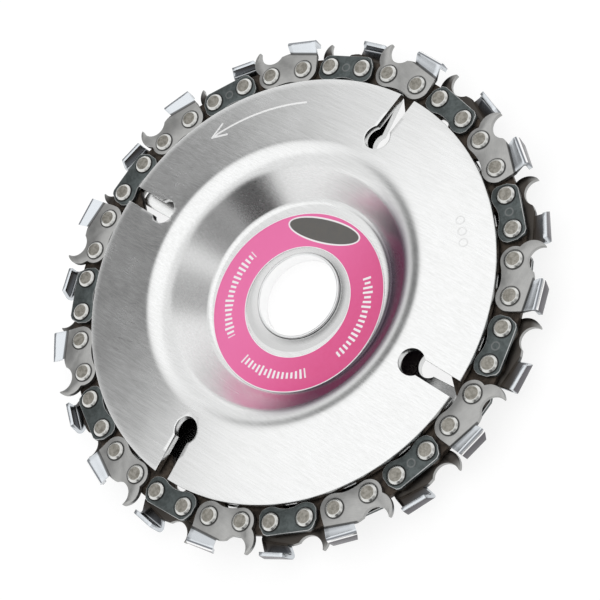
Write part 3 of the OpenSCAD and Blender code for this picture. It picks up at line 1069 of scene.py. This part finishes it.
def cutter_outline():
    """The flat part of a cutter: heel, waist, toe, hooked depth gauge and gullet, up to the crease."""
    toe, heel = (0, SIDE_PITCH / 2), (0, -SIDE_PITCH / 2)
    heel_hollow, heel_turn = waist(SEAT_R, -1)
    toe_hollow, toe_turn = waist(TOE_R, 1)
    toe_gauge = crossing(toe, TOE_R, GAUGE_CENTRE, GAUGE_R, 1)
    disc = (-SIDE_MID, 0)
    tip_out = crossing(GAUGE_CENTRE, GAUGE_R, disc, GAUGE_TIP_R, -1)
    tip_in = crossing(GULLET_CENTRE, GULLET_R, disc, GAUGE_TIP_R, -1)
    gauge_from = angle_of(GAUGE_CENTRE, toe_gauge)
    heel_y = -SIDE_PITCH / 2 - HEEL_END
    crease = CREASE_H + 0.05
    return (
        arc(heel, SEAT_R, 254, heel_turn, 14)
        + heel_hollow[-2::-1]
        + toe_hollow[1:-1]
        + arc(toe, TOE_R, toe_turn, angle_of(toe, toe_gauge), 14)
        + arc(GAUGE_CENTRE, GAUGE_R, gauge_from, angle_of(GAUGE_CENTRE, tip_out), 16)
        + arc(GULLET_CENTRE, GULLET_R, angle_of(GULLET_CENTRE, tip_in), 236, 24)
        + [(CREASE_H, 0.25), (crease, EDGE_Y - 0.25)]
        + [(crease - CREASE_DROP, EDGE_Y - TOP_L), (0.3, heel_y - 0.12)]
    )


def strap_outline():
    """A tie strap: straight outer edge with clipped corners, round inner lobes and a waist."""
    end = SIDE_PITCH / 2 + STRAP_END
    hollow, turn = waist(SEAT_R, 1)
    half = (
        hollow[:-1]
        + arc((0, SIDE_PITCH / 2), SEAT_R, turn, 142, 10)
        + [(-1.4, end), (0.5, end), (LINK_TOP - 0.35, end - 0.8), (LINK_TOP, end - 1.55)]
    )
    return half + [(x, -y) for x, y in half[:0:-1]]


def drive_outline():
    """A drive link: two round ends, a low back and a wide tang that points at the disc."""
    half = DRIVE_PITCH / 2
    tip = TANG_TIP_R - DRIVE_MID
    point = TANG_TIP_W / 2
    lead, trail = (0, half), (0, -half)
    return (
        arc(trail, DRIVE_END_R, 30, -112, 14)
        + [(-SHOULDER_DROP + 0.4, -SHOULDER_Y), (-SHOULDER_DROP, -SHOULDER_Y + 0.2)]
        + [(tip + 0.2, -point - 0.1), (tip, -point + 0.2), (tip, point - 0.2), (tip + 0.2, point + 0.1)]
        + [(-SHOULDER_DROP, SHOULDER_Y - 0.2), (-SHOULDER_DROP + 0.4, SHOULDER_Y)]
        + arc(lead, DRIVE_END_R, 112, -30, 14)
        + [(DRIVE_TOP, half - 1.2), (DRIVE_TOP, -half + 1.2)]
    )


def top_section(share):
    """The leaning wall and the top plate, cut square across at a share of the way to the heel."""
    crease = CREASE_H - CREASE_DROP * share
    top = TOP_H - TOP_DROP * share
    flare_z = SIDE_OUT + FLARE
    free_z = flare_z - TOP_W
    free_x = top - 0.08
    wall_foot = (crease + 0.5, SIDE_OUT + FLARE * 0.2)
    outer = (
        [(crease - 0.5, SIDE_OUT - 0.01), (crease, SIDE_OUT)]
        + [(crease + (top - BEND_R - crease) * 0.5, SIDE_OUT + FLARE * 0.36)]
        + bend(wall_foot, (top, flare_z), (free_x, free_z), BEND_R, 8)
        + [(free_x, free_z + 0.05), (free_x - 0.05, free_z)]
    )
    inner_corner = (top - TOP_T, flare_z - TOP_T)
    inner = (
        [(free_x - TOP_T, free_z)]
        + bend((free_x - TOP_T, free_z), inner_corner, (crease, SIDE_IN), 0.35, 4)
        + [(crease, SIDE_IN + 0.01), (crease - 0.5, SIDE_IN + 0.01)]
    )
    points = []
    for x, z in outer + inner:
        slant = max(0.0, flare_z - z) * math.tan(math.radians(EDGE_SLANT)) * (1 - share)
        points.append((x, EDGE_Y - slant - share * TOP_L, z))
    return points


def link_piece(name, parts):
    """Eases the edges of a link's (part, bevel width) pairs, then joins them."""
    eased = []
    for part, width in parts:
        with_modifier(
            part, "BEVEL", width=width * MM, segments=2, limit_method="ANGLE",
            angle_limit=math.radians(35),
        )
        eased.append(baked(part, part.name + "_eased", 28))
    return joined(name, eased)


def head_profile():
    """Half of a rivet's outline: flat top, bright bevel, short wall and shank."""
    top = RIVET_HALF
    return (
        [(0, top - 0.02), (0.5, top)]
        + bend((0, top), (HEAD_TOP_R, top), (HEAD_R - 0.04, top - HEAD_DROP), 0.16, 4)
        + bend((HEAD_TOP_R, top), (HEAD_R, top - HEAD_DROP), (HEAD_R, SIDE_OUT), 0.1, 3)
        + [(HEAD_R, SIDE_OUT)]
    )


def rivet_piece():
    """A whole rivet, from head to head."""
    upper = head_profile()
    section = upper + [(r, -z) for r, z in reversed(upper)]
    bm = bmesh.new()
    steps = 28
    rings = turned_rows(bm, section, steps)
    for i, ring in enumerate(rings):
        following = rings[(i + 1) % steps]
        for j in range(len(section) - 1):
            corners = []
            for vertex in (ring[j], following[j], following[j + 1], ring[j + 1]):
                if all((vertex.co - other.co).length > 1e-6 for other in corners):
                    corners.append(vertex)
            if len(corners) > 2:
                bm.faces.new(corners)
    piece = mesh_from("rivet", bm)
    return baked(piece, "rivet", 40)


def side_links(kind, source, finish, turns, seed):
    """Both sides' links of one kind: on the label side and, turned over, on the back."""
    pieces = []
    count = CUTTERS // 2
    over = turned_over(source, source.name + "_over")
    for side, copy, first in (("label", source, turns[0]), ("back", over, turns[1])):
        first_turn = CHAIN_TURN + first * PAIR_TURN
        ring = ring_of(
            f"{kind}s_{side}_side", copy, finish, count, SIDE_MID, CHAIN_Z,
            first_turn, 2 * PAIR_TURN, seed,
        )
        ring.data.set_sharp_from_angle(angle=math.radians(28))
        nodes = [f"{kind}_{side}_{i}" for i in range(1, count + 1)]
        pieces.append((ring, nodes))
        seed += 1
    return pieces


def fit(piece, body, slot, *nodes):
    """The piece rides on a body and stands for its CAD nodes, which are hidden."""
    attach(piece, body)
    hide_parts(*nodes)


def build_disc():
    """The plates, the collar and the label."""
    front_finish = plate_steel("front_plate_steel", True)
    back_finish = plate_steel("back_plate_steel", False)
    front = slotted("front_dish", front_section(), SLOT_TURN, front_finish)
    fit(front, "cover", "plate_steel", "front_plate")
    back = slotted("back_dish", back_section(), SLOT_TURN + SLOT_OFFSET, back_finish)
    fit(back, "base", "plate_steel", "back_plate")
    fit(collar(collar_steel("collar_steel")), "base", "collar_steel", "hub_collar")
    fit(ring_label(label_print("label_print")), "cover", "label", "label")


def build_chain():
    """The loop of chain: cutters, tie straps, drive links and rivets."""
    flat = slab("cutter_flat", cutter_outline(), SIDE_IN, SIDE_OUT)
    top = loft("cutter_top", [top_section(share / 6) for share in range(7)])
    cutter = link_piece("cutter", [(flat, FLAT_BEVEL), (top, TOP_BEVEL)])
    for ring, nodes in side_links("cutter", cutter, cutter_plating("cutter_plating"), (0, 1), 3):
        fit(ring, "chain", "cutter_chrome", *nodes)
    strap_flat = slab("strap_flat", strap_outline(), SIDE_IN, SIDE_OUT)
    strap = link_piece("tie_strap", [(strap_flat, STRAP_BEVEL)])
    for ring, nodes in side_links("tie_strap", strap, blued_steel("blued_steel"), (1, 0), 13):
        fit(ring, "chain", "strap_black", *nodes)
    drive_flat = slab("drive_flat", drive_outline(), -DRIVE_T / 2, DRIVE_T / 2)
    drive = link_piece("drive_link", [(drive_flat, DRIVE_BEVEL)])
    first = CHAIN_TURN + PAIR_TURN / 2
    drives = ring_of(
        "drive_links", drive, brown_oxide("brown_oxide"), CUTTERS, DRIVE_MID, CHAIN_Z,
        first, PAIR_TURN, 23,
    )
    fit(drives, "chain", "drive_link_brown", "drive_links_a", "drive_links_b")
    nickel = rivet_nickel("rivet_nickel")
    for end, name in ((-1, "trailing"), (1, "leading")):
        heads = ring_of(
            f"rivets_{name}_ends", rivet_piece(), nickel, CUTTERS, RIVET_R, CHAIN_Z,
            CHAIN_TURN + end * SIDE_HALF, PAIR_TURN, 31 + end,
        )
        fit(heads, "chain", "rivet_steel", f"rivets_{name}")


# ---- studio ----


def build_floor():
    """A plain pale floor under the disc."""
    bm = bmesh.new()
    bmesh.ops.create_grid(bm, x_segments=1, y_segments=1, size=FLOOR_HALF * MM)
    bmesh.ops.translate(bm, vec=(0, 0, -FLOOR_DROP * MM), verts=bm.verts)
    floor = as_object("floor", bm)
    finish = Finish("floor_paper")
    tone = noise(finish.place, 0.02, 2.0)
    floor.data.materials.append(
        finish.set(
            Base_Color=mixed(tone, grey(0.24), grey(0.27)), Roughness=0.9, Specular_IOR_Level=0.1,
            Emission_Color=grey(1.0), Emission_Strength=FLOOR_GLOW,
        )
    )


def build_light():
    """A white tent: bright overhead and round the horizon, with a few dim places between."""
    world = bpy.data.worlds.new("tent")
    bpy.context.scene.world = world
    world.use_nodes = True
    tree = world.node_tree
    toward = Field(tree, tree.nodes.new("ShaderNodeTexCoord").outputs["Generated"])
    height = toward.part(2)
    light = height.ramp(0.05, 0.45, HORIZON, SIDES)
    for direction, inner, outer, value in DIM_PLACES:
        way = tuple(Vector(direction).normalized())
        there = toward.dot(way).ramp(math.cos(math.radians(outer)), math.cos(math.radians(inner)))
        light = light * (1 - there) + value * there
    overhead = toward.dot(tuple(Vector(OVERHEAD_WAY).normalized()))
    above = overhead.ramp(*(math.cos(math.radians(a)) for a in OVERHEAD_EDGE))
    light = light * (1 - above) + OVERHEAD * above
    tree.links.new(light.socket, tree.nodes["Background"].inputs["Strength"])
    tree.nodes["Background"].inputs["Color"].default_value = (1, 1, 1, 1)


place_camera()
build_light()
build_floor()
build_disc()
build_chain()
bpy.context.scene.view_settings.view_transform = "Standard"
